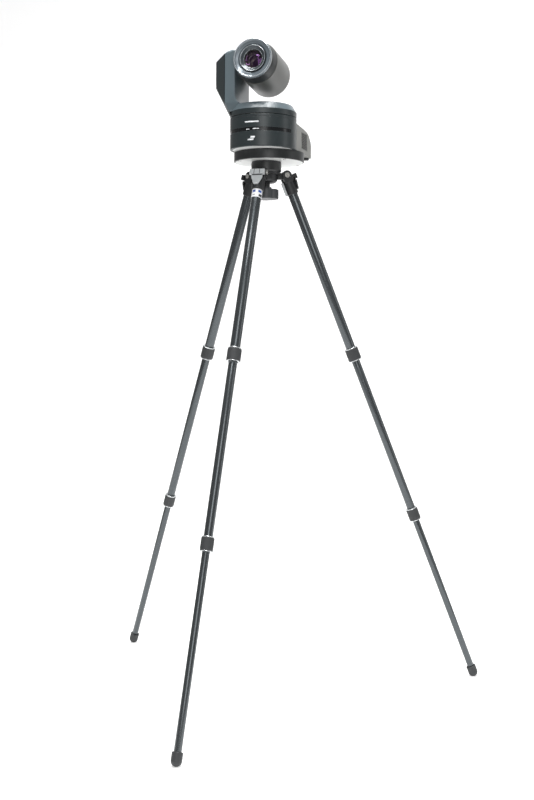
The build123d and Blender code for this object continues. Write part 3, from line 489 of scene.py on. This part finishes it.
# ---- Face ring and lens
# A glossy ring finishes the front. Inside it sit the turned bezel, the stepped black lens tube with
# its baffles, the coated front glass and the iris. Bright metal beads on their edges paint highlights.
ring_gloss = finish_material("ring_gloss", (0.13, 0.155, 0.175), 0.04, (0.14, 0.2), (700.0, 0.000004),
                             worn=(0.5, 0.52, 0.54), Specular_IOR_Level=0.7, Coat_Weight=0.5,
                             Coat_Roughness=0.06, Metallic=0.35)
ring_profile = rounded_profile([[39.3, 69.2], [41.2, 69.2], [41.2, 75.2], [39.9, 76.4], [38.0, 76.4],
                                [36.2, 74.4], [31.2, 73.4], [29.4, 71.2], [28.3, 70.8], [28.2, 66.0]],
                               0.7) * mm
face = turned_piece("face_ring_skin", ring_profile, tilt_point, lens_axis, barrel_up, ring_gloss,
                    "barrel", 192)
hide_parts("face_ring")

bezel_grey = finish_material("bezel_grey", (0.05, 0.06, 0.068), 0.05, (0.2, 0.28), (1200.0, 0.000006),
                             worn=(0.4, 0.42, 0.44), Metallic=0.4, Specular_IOR_Level=0.6)
bezel_profile = rounded_profile([[22.6, 60.0], [27.5, 60.2], [27.5, 73.4], [26.8, 74.4], [25.6, 74.2],
                                 [22.4, 71.6], [20.6, 70.2], [19.6, 69.9], [19.3, 66.0]], 0.5) * mm
bezel = turned_piece("lens_bezel_skin", bezel_profile, tilt_point, lens_axis, barrel_up, bezel_grey,
                     "barrel", 160)
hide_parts("lens_barrel")
lens_metal = finish_material("lens_metal", (0.035, 0.031, 0.029), 0.05, (0.24, 0.34), (2400.0, 0.00001),
                             worn=(0.3, 0.3, 0.3), Metallic=0.3)
lens_profile = rounded_profile([[22.5, 59.0], [19.2, 66.2], [18.6, 64.0], [18.3, 58.0], [15.9, 56.5],
                                [15.7, 52.0], [13.0, 50.5], [12.8, 44.0], [9.5, 42.5], [9.2, 30.0]], 0.5) * mm
turned_piece("lens_tube_skin", lens_profile, tilt_point, lens_axis, barrel_up, lens_metal,
             "barrel", 128)
inner_wall = finish_material("inner_wall", (0.36, 0.28, 0.26), 0.05, (0.25, 0.35), (900.0, 0.00001),
                             Metallic=0.5)
turned_piece("inner_wall_band", rounded_profile([[18.5, 57.6], [17.0, 55.5], [16.2, 53.4]], 0.3) * mm,
             tilt_point, lens_axis, barrel_up, inner_wall, "barrel", 128)

# Bright metal beads that paint edge highlights: one on the face ring's lip, the bead round the front of the
# lens tube, and two thin baffle rings behind the glass.
highlight_bead_metal = finish_material("highlight_bead_metal", (0.45, 0.48, 0.5), 0.04, (0.18, 0.26), (900.0, 0.000004),
                             worn=(0.7, 0.7, 0.7), Metallic=0.85)


def bead(name, radius, where, thickness):
    """A thin ring of round section in bright metal that paints an edge highlight, as a circle of the section
    carried round the lens axis.
    """
    turn = np.linspace(0, 2 * math.pi, 12, endpoint=False)
    section = np.stack([radius + thickness * np.cos(turn), where + thickness * np.sin(turn)], axis=1) * mm
    turned_piece(name, section, tilt_point, lens_axis, barrel_up, highlight_bead_metal, "barrel",
                 128, True)


# Each bead's bright metal paints the highlight that this edge catches.
bead("face_lip", 39.2, 76.1, 0.7)
bead("lens_bead_outer", 26.7, 74.2, 0.6)
bead("lens_bead_inner", 20.0, 70.0, 0.4)
bead("baffle_bead_back", 12.9, 50.8, 0.3)

glass, glass_tree, glass_shader = new_material("coated_glass")
socket_value(glass_shader, Roughness=0.02, IOR=1.55, Transmission_Weight=1.0,
             Specular_Tint=(0.55, 0.26, 0.72, 1))
coating = glass_tree.nodes.new("ShaderNodeLayerWeight")
coating.inputs["Blend"].default_value = 0.35
tint = colour_mix(glass_tree, coating.outputs["Facing"], (0.85, 0.80, 0.78), (0.60, 0.72, 0.66))
glass_tree.links.new(tint, glass_shader.inputs["Base Color"])


def lens_element(name, radius, top, dome, thickness):
    """A lens element: a spherical cap of the given dome height over a flat back."""
    sphere = (radius ** 2 + dome ** 2) / (2 * dome)
    rows = 22
    reach = np.linspace(0.0, 1.0, rows)[::-1]
    front = np.stack([radius * reach, top - sphere + np.sqrt(sphere ** 2 - (radius * reach) ** 2)], axis=1)
    back = np.stack([radius * reach[::-1], np.full(rows, top - dome - thickness)], axis=1)
    profile = np.concatenate([back, front])
    profile[:, 0] = np.maximum(profile[:, 0], 0.01)
    return turned_piece(name, profile * mm, tilt_point, lens_axis, barrel_up, glass, "barrel",
                        96)


front_element = lens_element("front_element", 18.9, 68.5, 4.6, 1.5)
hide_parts("front_glass")

iris, iris_tree, iris_shader = new_material("iris_black")
socket_value(iris_shader, Base_Color=(0.006, 0.004, 0.008, 1), Roughness=0.3, Specular_IOR_Level=0.3)
iris_place = iris_tree.nodes.new("ShaderNodeTexCoord")
iris_noise = noise_over(iris_tree, iris_place.outputs["Object"], 300, 2)
iris_bump = iris_tree.nodes.new("ShaderNodeBump")
iris_bump.inputs["Distance"].default_value = 0.00001
iris_tree.links.new(iris_noise.outputs["Fac"], iris_bump.inputs["Height"])
iris_tree.links.new(iris_bump.outputs["Normal"], iris_shader.inputs["Normal"])
turned_piece("iris_plate", np.array([[9.4, 31.0], [4.0, 31.4], [3.6, 30.6], [0.01, 30.6]]) * mm,
             tilt_point, lens_axis, barrel_up, iris, "barrel", 64)


# ---- Base drum
# The fixed drum is moulded in dark grained plastic. A fine groove runs under the pan seam, and a
# long recess wraps round the front for the dark window strip.
seam_z, rim_z = -0.6, -66.2
slot_low, slot_high, slot_half_angle = -35.2, -27.7, math.radians(75)
wall_z = np.concatenate([np.linspace(rim_z + 4, slot_low - 0.4, 12),
                         [slot_low - 0.15, slot_low, slot_low + 0.05],
                         [slot_high - 0.05, slot_high, slot_high + 0.15], [-20.0, -12.0]])
drum_profile = np.concatenate([
    rounded_profile([[64.0, rim_z], [drum_radius, rim_z], [drum_radius, rim_z + 3]], 1.0),
    np.stack([np.full_like(wall_z, drum_radius), wall_z], axis=1),
    rounded_profile([[drum_radius, -6.6], [drum_radius, -6.2], [69.45, -6.1], [69.45, -5.5],
                     [drum_radius, -5.4], [drum_radius, -5.0]], 0.12),
    rounded_profile([[drum_radius, -3.0], [drum_radius, -1.2], [69.4, seam_z], [64.0, seam_z]], 0.5)]) * mm
drum_columns = 360
drum_points = turned_points(drum_profile, pan_point, (0, 0, 1), (1, 0, 0), drum_columns)
from_axis = drum_points - pan_point
bearing_angle = np.arctan2(from_axis[..., 0], -from_axis[..., 1])
in_slot = ((np.abs(bearing_angle) < slot_half_angle) & (from_axis[..., 2] > (slot_low + 0.02) * mm)
           & (from_axis[..., 2] < (slot_high - 0.02) * mm))
slot_floor_radius = 68.7
depth = np.where(in_slot, slot_floor_radius / drum_radius, 1.0)
drum_points[..., 0] = pan_point[0] + from_axis[..., 0] * depth
drum_points[..., 1] = pan_point[1] + from_axis[..., 1] * depth
drum = add_mesh("drum_skin", drum_points, grid_faces(len(drum_profile), drum_columns, close_columns=True),
                drum_plastic)
face_outwards(drum)
drum.data.set_sharp_from_angle(angle=math.radians(35))
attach(drum, "camera_base")
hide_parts("base_drum")

window_gloss = finish_material("window_gloss", (0.006, 0.007, 0.008), 0.1, (0.2, 0.28), (300.0, 0.000002),
                               Specular_IOR_Level=0.3)
print_white = finish_material("print_white", (0.78, 0.8, 0.82), 0.03, (0.4, 0.5), (900.0, 0.000006))


wall_print_radius, slot_print_radius = 70.12, 69.3


def drum_patch(name, centre, half_width, low, high, radius=wall_print_radius, slant=0.0):
    """A printed patch on the drum: a small grid of angle and height wrapped on a cylinder just
    outside the wall. Positions are in millimetres along the wall from straight ahead."""
    along_wall = np.linspace(centre - half_width, centre + half_width, 12)[None, :]
    level = np.linspace(low, high, 4)[:, None]
    angle = (along_wall + slant * (level - low)) / drum_radius
    points = np.stack([radius * np.sin(angle), -radius * np.cos(angle), level + 0 * angle], axis=-1)
    patch = add_mesh(name, points * mm + pan_point, grid_faces(4, 12), print_white)
    patch.modifiers.new("thickness", "SOLIDIFY").thickness = -0.00008
    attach(patch, "camera_base")


# Plain printed bars and a slanted step mark, where such cameras carry their markings.
drum_patch("mark_bar_top", -2.2, 15.4, -18.6, -15.6)
drum_patch("mark_bar_low_left", -10.8, 4.2, -32.8, -31.4, slot_print_radius)
drum_patch("mark_bar_low_right", 6.6, 6.8, -32.4, -30.4, slot_print_radius)
drum_patch("mark_step_low", -5.0, 6.4, -54.8, -52.0, slant=0.5)
drum_patch("mark_step_high", -0.6, 4.8, -50.4, -46.6, slant=0.5)

# The drum's bottom: a ring in the pale plate finish that shows as a crescent ahead of the tray. Its pale
# colour partly paints the highlight of floor light along the drum's rim.
plate_alloy = finish_material("plate_alloy", (0.62, 0.63, 0.62), 0.05, (0.32, 0.42), (900.0, 0.00001),
                              Metallic=0.25, Specular_IOR_Level=0.6)
pale_underside_highlight_profile = rounded_profile([[68.8, rim_z + 3], [68.8, rim_z + 0.25], [30.0, rim_z + 0.25],
                                      [21.0, rim_z + 0.25]], 0.4) * mm
# Pale underside ring, partly a painted highlight of floor light on the rim.
turned_piece("pale_underside_highlight_ring", pale_underside_highlight_profile, pan_point, (0, 0, 1), (1, 0, 0), plate_alloy,
             "camera_base", 128)


# ---- Rear housing and inner parts
# The rear housing, its vents, the sockets and what is inside keep their CAD shapes. Each gets its
# own finish: grained grey plastic outside, bare metal and board lacquer inside.
def paint(material, *names):
    """Puts a material on CAD parts, in place of their plain one."""
    for name in names:
        mesh = frame["nodes"][name].data
        mesh.materials.clear()
        mesh.materials.append(material)


housing_plastic = finish_material("housing_plastic", (0.165, 0.168, 0.155), 0.05, (0.38, 0.48),
                                  (1500.0, 0.00002), edge_radius=0.0012, worn=(0.4, 0.4, 0.38))
grille_plastic = finish_material("grille_plastic", (0.045, 0.046, 0.043), 0.05, (0.42, 0.52),
                                 (1500.0, 0.00002))
tray_plastic = finish_material("tray_plastic", (0.010, 0.012, 0.013), 0.06, (0.36, 0.46), (1500.0, 0.00002),
                               edge_radius=0.001)
socket_metal = finish_material("socket_metal", (0.5, 0.51, 0.53), 0.05, (0.22, 0.34), (800.0, 0.000006),
                               Metallic=0.9)
board_lacquer = finish_material("board_lacquer", (0.02, 0.13, 0.06), 0.15, (0.25, 0.35), (500.0, 0.00002),
                                Coat_Weight=0.4)
gear_acetal = finish_material("gear_acetal", (0.72, 0.71, 0.67), 0.03, (0.4, 0.5), (900.0, 0.00001))
motor_metal = finish_material("motor_metal", (0.42, 0.42, 0.44), 0.05, (0.3, 0.4), (900.0, 0.00001),
                              Metallic=0.85)
lamp_frost = finish_material("lamp_frost", (0.88, 0.9, 0.92), 0.02, (0.3, 0.4), (900.0, 0.000006),
                             edge_radius=0.0003, Subsurface_Weight=0.15)
paint(housing_plastic, "rear_housing")
paint(grille_plastic, "vent_grilles")
paint(tray_plastic, "connector_panel")
paint(window_gloss, "slot_window")
paint(socket_metal, "network_socket", "video_socket", "power_inlet", "tilt_shaft")
paint(board_lacquer, "main_board", "sensor_board")
paint(gear_acetal, "pan_gear", "tilt_gear", "pan_pinion", "tilt_pinion", "pan_bearing")
paint(motor_metal, "pan_motor", "tilt_motor")
paint(collar_plastic, "fan_frame", "fan_rotor")
paint(lamp_frost, "tally_lamp")


# ---- Bottom tray
# The camera stands on a round moulded tray, closed from below by a bright alloy plate that four
# screws hold. Two rubber feet steady the rear housing.
tray_back, tray_radius, base_z = 40.0, 75.0, -86.9
tray_middle = pan_point + np.array([0, tray_back, 0]) * mm
tray_profile = rounded_profile([[tray_radius - 2, rim_z], [tray_radius, rim_z],
                                [tray_radius, base_z + 1.6], [tray_radius - 1.6, base_z + 0.9],
                                [tray_radius - 5, base_z + 0.9]], 0.8) * mm
tray = turned_piece("tray_skin", tray_profile, tray_middle, (0, 0, 1), (1, 0, 0), tray_plastic,
                    "camera_base", 192)
plate_profile = rounded_profile([[72.6, base_z + 1.4], [72.6, base_z + 0.05], [40.0, base_z + 0.05],
                                 [12.0, base_z + 0.05], [0.01, base_z + 0.05]], 0.5) * mm
turned_piece("bottom_plate", plate_profile, tray_middle, (0, 0, 1), (1, 0, 0), plate_alloy,
             "camera_base", 192)
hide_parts("bottom_chassis")
screw_steel = finish_material("screw_steel", (0.55, 0.55, 0.54), 0.05, (0.22, 0.3), (900.0, 0.00001),
                              Metallic=0.9)
screw_profile = rounded_profile([[3.6, 0.3], [3.4, -0.7], [2.2, -1.0], [1.1, -1.0], [0.9, -0.2],
                                 [0.01, -0.2]], 0.2) * mm
foot_profile = rounded_profile([[6.5, 0.2], [6.5, -4.2], [5.6, -5.0], [0.01, -5.0]], 0.6) * mm
screw_places = [(-50, -8), (50, -8), (-50, 88), (50, 88)]
for number, (x, y) in enumerate(screw_places):
    turned_piece(f"chassis_screw_{number}", screw_profile, pan_point + np.array([x, y, base_z]) * mm,
                 (0, 0, 1), (1, 0, 0), screw_steel, "camera_base", 32)
for name, x in (("rear_foot_right", 57), ("rear_foot_left", -57)):
    turned_piece(name, foot_profile, pan_point + np.array([x, 126, rim_z]) * mm, (0, 0, 1), (1, 0, 0),
                 tray_plastic, "camera_base", 48)


# ---- Tripod head
# Spider, platform and leg castings are sand-textured black die castings. The platform's top holds
# a rubber disc, and hinge bolts are bright plated steel.
cast_black = finish_material("cast_black", (0.011, 0.012, 0.013), 0.1, (0.36, 0.5), (700.0, 0.00006),
                             edge_radius=0.0012, worn=(0.12, 0.12, 0.12), Specular_IOR_Level=0.5)
bolt_steel = finish_material("bolt_steel", (0.62, 0.61, 0.58), 0.05, (0.2, 0.32), (600.0, 0.00001),
                             Metallic=0.95)
tab_silver = finish_material("tab_silver", (0.50, 0.52, 0.53), 0.05, (0.34, 0.46), (1200.0, 0.00006),
                             edge_radius=0.0008, worn=(0.75, 0.75, 0.75), Metallic=0.55)
grip_rubber = finish_material("grip_rubber", (0.030, 0.032, 0.034), 0.08, (0.5, 0.62), (900.0, 0.00005),
                              dusty=0.12)
knob_plastic = finish_material("knob_plastic", (0.032, 0.035, 0.038), 0.06, (0.38, 0.48), (900.0, 0.00004),
                               edge_radius=0.0015, worn=(0.1, 0.1, 0.1))
sides = ("front", "right", "left")
paint(cast_black, "spider", "platform", *[f"leg_casting_{side}" for side in sides])
paint(bolt_steel, "hinge_bolts", "camera_screw")
paint(tab_silver, "angle_lock_front")
# The right and left legs' pull tabs take the black casting finish, unlike the front leg's silver tab.
paint(cast_black, "angle_lock_right", "angle_lock_left")
paint(grip_rubber, "platform_pad", *[f"rubber_foot_{side}" for side in sides])
paint(knob_plastic, "clamp_knob")


# ---- Leg tubes
# Drawn aluminium tubes, dark anodised. Drawing leaves very fine lines along the tube, so the
# pattern is stretched along each leg, and the anodised skin shows long soft highlights.
def tube_material(side):
    """The anodised finish of one leg's tubes. Noise is turned into the leg's direction and
    stretched a hundredfold along it, for the drawing lines."""
    up_leg = Vector(joints[f"middle_section_slide_{side}"]["axis"])
    material, tree, shader = new_material(f"tube_anodised_{side}")
    nodes, links = tree.nodes, tree.links
    place = nodes.new("ShaderNodeTexCoord")
    turn_to_leg = nodes.new("ShaderNodeMapping")
    turn_to_leg.inputs["Rotation"].default_value = up_leg.rotation_difference(Vector((0, 0, 1))).to_euler()
    links.new(place.outputs["Object"], turn_to_leg.inputs["Vector"])
    stretch = nodes.new("ShaderNodeMapping")
    stretch.inputs["Scale"].default_value = (1, 1, 0.01)
    links.new(turn_to_leg.outputs["Vector"], stretch.inputs["Vector"])
    lines = noise_over(tree, stretch.outputs["Vector"], 1500, 2)
    bump = nodes.new("ShaderNodeBump")
    bump.inputs["Distance"].default_value = 0.000006
    links.new(lines.outputs["Fac"], bump.inputs["Height"])
    links.new(bump.outputs["Normal"], shader.inputs["Normal"])
    slow = noise_over(tree, place.outputs["Object"], 14, 5)
    links.new(run_between(tree, slow.outputs["Fac"], 0.3, 0.7, 0.20, 0.30), shader.inputs["Roughness"])
    shade = colour_mix(tree, lines.outputs["Fac"], (0.056, 0.064, 0.069), (0.084, 0.094, 0.100))
    links.new(shade, shader.inputs["Base Color"])
    socket_value(shader, Metallic=0.75, Specular_IOR_Level=0.6, Coat_Weight=0.35, Coat_Roughness=0.12)
    return material


def along_leg(side):
    """A leg's hinge point, its direction down the leg, and the direction straight out from it."""
    hinge = np.array(joints[f"leg_spread_{side}"]["pos_m"])
    down = -np.array(joints[f"middle_section_slide_{side}"]["axis"])
    out = np.array(joints[f"angle_lock_pull_{side}"]["axis"])
    return hinge, down, out


tube_ends = {"upper": (10.5, 30.0, 411.9), "middle": (9.0, 381.0, 795.0), "lower": (7.5, 763.0, 1184.0)}
wall = 1.2
for side in sides:
    hinge, down, out = along_leg(side)
    anodised = tube_material(side)
    for section, (radius, start, end) in tube_ends.items():
        profile = rounded_profile([[radius - wall, end], [radius, end], [radius, start],
                                   [radius - wall, start]], 0.2, 3)[::-1] * mm
        skin = turned_piece(f"{section}_tube_skin_{side}", profile, hinge, down, out, anodised,
                            f"{section}_leg_{side}", 64, True)
        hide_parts(f"{section}_tube_{side}")


# ---- Twist collars
# Each collar is a rubber sleeve with fine moulded ribs over a nut, between two thin bright rings.
ring_silver = finish_material("ring_silver", (0.66, 0.68, 0.69), 0.04, (0.16, 0.26), (900.0, 0.000006),
                              worn=(0.9, 0.9, 0.9), Metallic=0.8)


def ribbed_sleeve(name, radius, start, end, side, body):
    """A ribbed sleeve: rounded-off tube whose radius dips by a rounded square wave round the leg,
    fading out towards both ends."""
    hinge, down, out = along_leg(side)
    columns, ribs = 288, 36
    profile = rounded_profile([[radius - 2.6, start], [radius - 0.5, start], [radius, start + 1.4],
                               [radius, (start + end) / 2], [radius, end - 1.4], [radius - 0.5, end],
                               [radius - 2.6, end]], 0.7) * mm
    points = turned_points(profile, hinge, down, out, columns)
    axis_point = hinge + profile[:, None, 1:2] * down
    angle = np.linspace(0, 2 * math.pi, columns, endpoint=False)
    wave = np.tanh(2.5 * np.cos(angle * ribs)) * 0.5 + 0.5
    plain_end, fade, rib_depth = 2.2 * mm, 0.6 * mm, 0.028
    from_end = np.minimum(profile[:, 1] - start * mm, end * mm - profile[:, 1])
    inside = np.clip((from_end - plain_end) / fade, 0, 1)
    dip = 1 - rib_depth * wave[None, :] * inside[:, None]
    points = axis_point + (points - axis_point) * dip[..., None]
    sleeve = add_mesh(name, points, grid_faces(len(profile), columns, close_columns=True), grip_rubber)
    face_outwards(sleeve)
    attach(sleeve, body)
    return sleeve


collars = {"upper": (14.4, 395.7, 425.1, 10.6, 9.3), "lower": (12.8, 778.8, 807.9, 9.1, 7.8)}
for side in sides:
    hinge, down, out = along_leg(side)
    for which, (radius, start, end, bore_above, bore_below) in collars.items():
        body = f"{which}_collar_{side}"
        sleeve = ribbed_sleeve(f"{which}_sleeve_{side}", radius, start + 1.8, end - 1.6, side, body)
        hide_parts(body)
        for end_name, low, high, bore in (("top", start, start + 2.0, bore_above),
                                          ("bottom", end - 1.8, end, bore_below)):
            profile = rounded_profile([[bore, high], [bore, low], [radius - 0.9, low],
                                       [radius - 0.4, low + 0.5], [radius - 0.4, high], [bore, high]],
                                      0.3, 3)[:-1] * mm
            turned_piece(f"{which}_ring_{end_name}_{side}", profile, hinge, down, out, ring_silver,
                         body, 96, True)


# ---- Front label
# A printed film wrapped round the top of the front leg: white, with two blue patches and a fine
# dark line, all plain shapes.
label_hinge, label_down, label_out = along_leg("front")
film_white = finish_material("film_white", (0.82, 0.83, 0.85), 0.02, (0.25, 0.33), (600.0, 0.000004),
                             Coat_Weight=0.3)
film_blue = finish_material("film_blue", (0.05, 0.14, 0.55), 0.04, (0.25, 0.33), (600.0, 0.000004))
film_profile = rounded_profile([[10.55, 42.8], [10.9, 42.8], [10.9, 61.8], [10.55, 61.8]], 0.15, 3) * mm
film = turned_piece("label_film", film_profile, label_hinge, label_down, label_out, film_white,
                    "upper_leg_front", 96)
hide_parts("label_band")


def film_patch(name, centre_angle, half_angle, low, high, material):
    """A printed patch on the label: a grid of angle and distance down the leg, just proud of it."""
    angle = np.linspace(centre_angle - half_angle, centre_angle + half_angle, 10)[None, :]
    level = np.linspace(low, high, 3)[:, None] * mm
    side_way = np.cross(label_down, label_out)
    radius = 10.96 * mm
    points = (label_hinge + level[..., None] * label_down + radius * np.cos(angle)[..., None] * label_out
              + radius * np.sin(angle)[..., None] * side_way)
    patch = add_mesh(name, points, grid_faces(3, 10), material)
    patch.modifiers.new("thickness", "SOLIDIFY").thickness = 0.00005
    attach(patch, "upper_leg_front")


film_patch("label_blue_right", math.radians(-54), math.radians(21), 45.8, 51.0, film_blue)
film_patch("label_blue_left", math.radians(18), math.radians(19), 45.8, 51.0, film_blue)
film_patch("label_dark_right", math.radians(-66), math.radians(24), 54.4, 60.4, knob_plastic)
film_patch("label_line_left", math.radians(16), math.radians(16), 56.2, 57.6, knob_plastic)


# ---- Lock details
# The front leg's pull tab has two grooves in its bar, drawn as dark strips that paint the shade inside
# them, and a dark seam below it. The right leg's casting carries a thin bright stop plate on its inner side.
def leg_strip(name, side, body, across, depth, down_leg, material):
    """A flat strip with softened edges on a leg: ranges across the leg, outwards from the tube's
    line and down the leg, in millimetres."""
    hinge, down, out = along_leg(side)
    axes = np.stack([np.cross(down, out), out, down])
    low, high = np.array([across[0], depth[0], down_leg[0]]), np.array([across[1], depth[1], down_leg[1]])
    corners = np.array([[i, j, k] for i in (0, 1) for j in (0, 1) for k in (0, 1)])
    points = hinge + ((low + corners * (high - low)) * mm) @ axes
    faces = np.array([[0, 1, 3, 2], [4, 6, 7, 5], [0, 4, 5, 1], [2, 3, 7, 6], [0, 2, 6, 4], [1, 5, 7, 3]])
    strip = add_mesh(name, points, faces, material, smooth=False)
    face_outwards(strip)
    softened = strip.modifiers.new("edges", "BEVEL")
    softened.width, softened.segments = 0.0002, 2
    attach(strip, body)
    return strip


# Dark strips on the tab's bar paint the shade in its two grooves.
for number, where in enumerate((-6, 6)):
    leg_strip(f"groove_painted_shade_{number}", "front", "angle_lock_front", (where - 0.65, where + 0.65),
              (18.2, 19.42), (2.2, 12.8), collar_plastic)
leg_strip("lock_seam", "front", "angle_lock_front", (-11.5, 11.5), (15.6, 16.5), (12.9, 15.1),
          collar_plastic)
leg_strip("stop_plate_right", "right", "upper_leg_right", (-8.5, 8.5), (-14.2, -13.0), (12.0, 41.0),
          tab_silver)
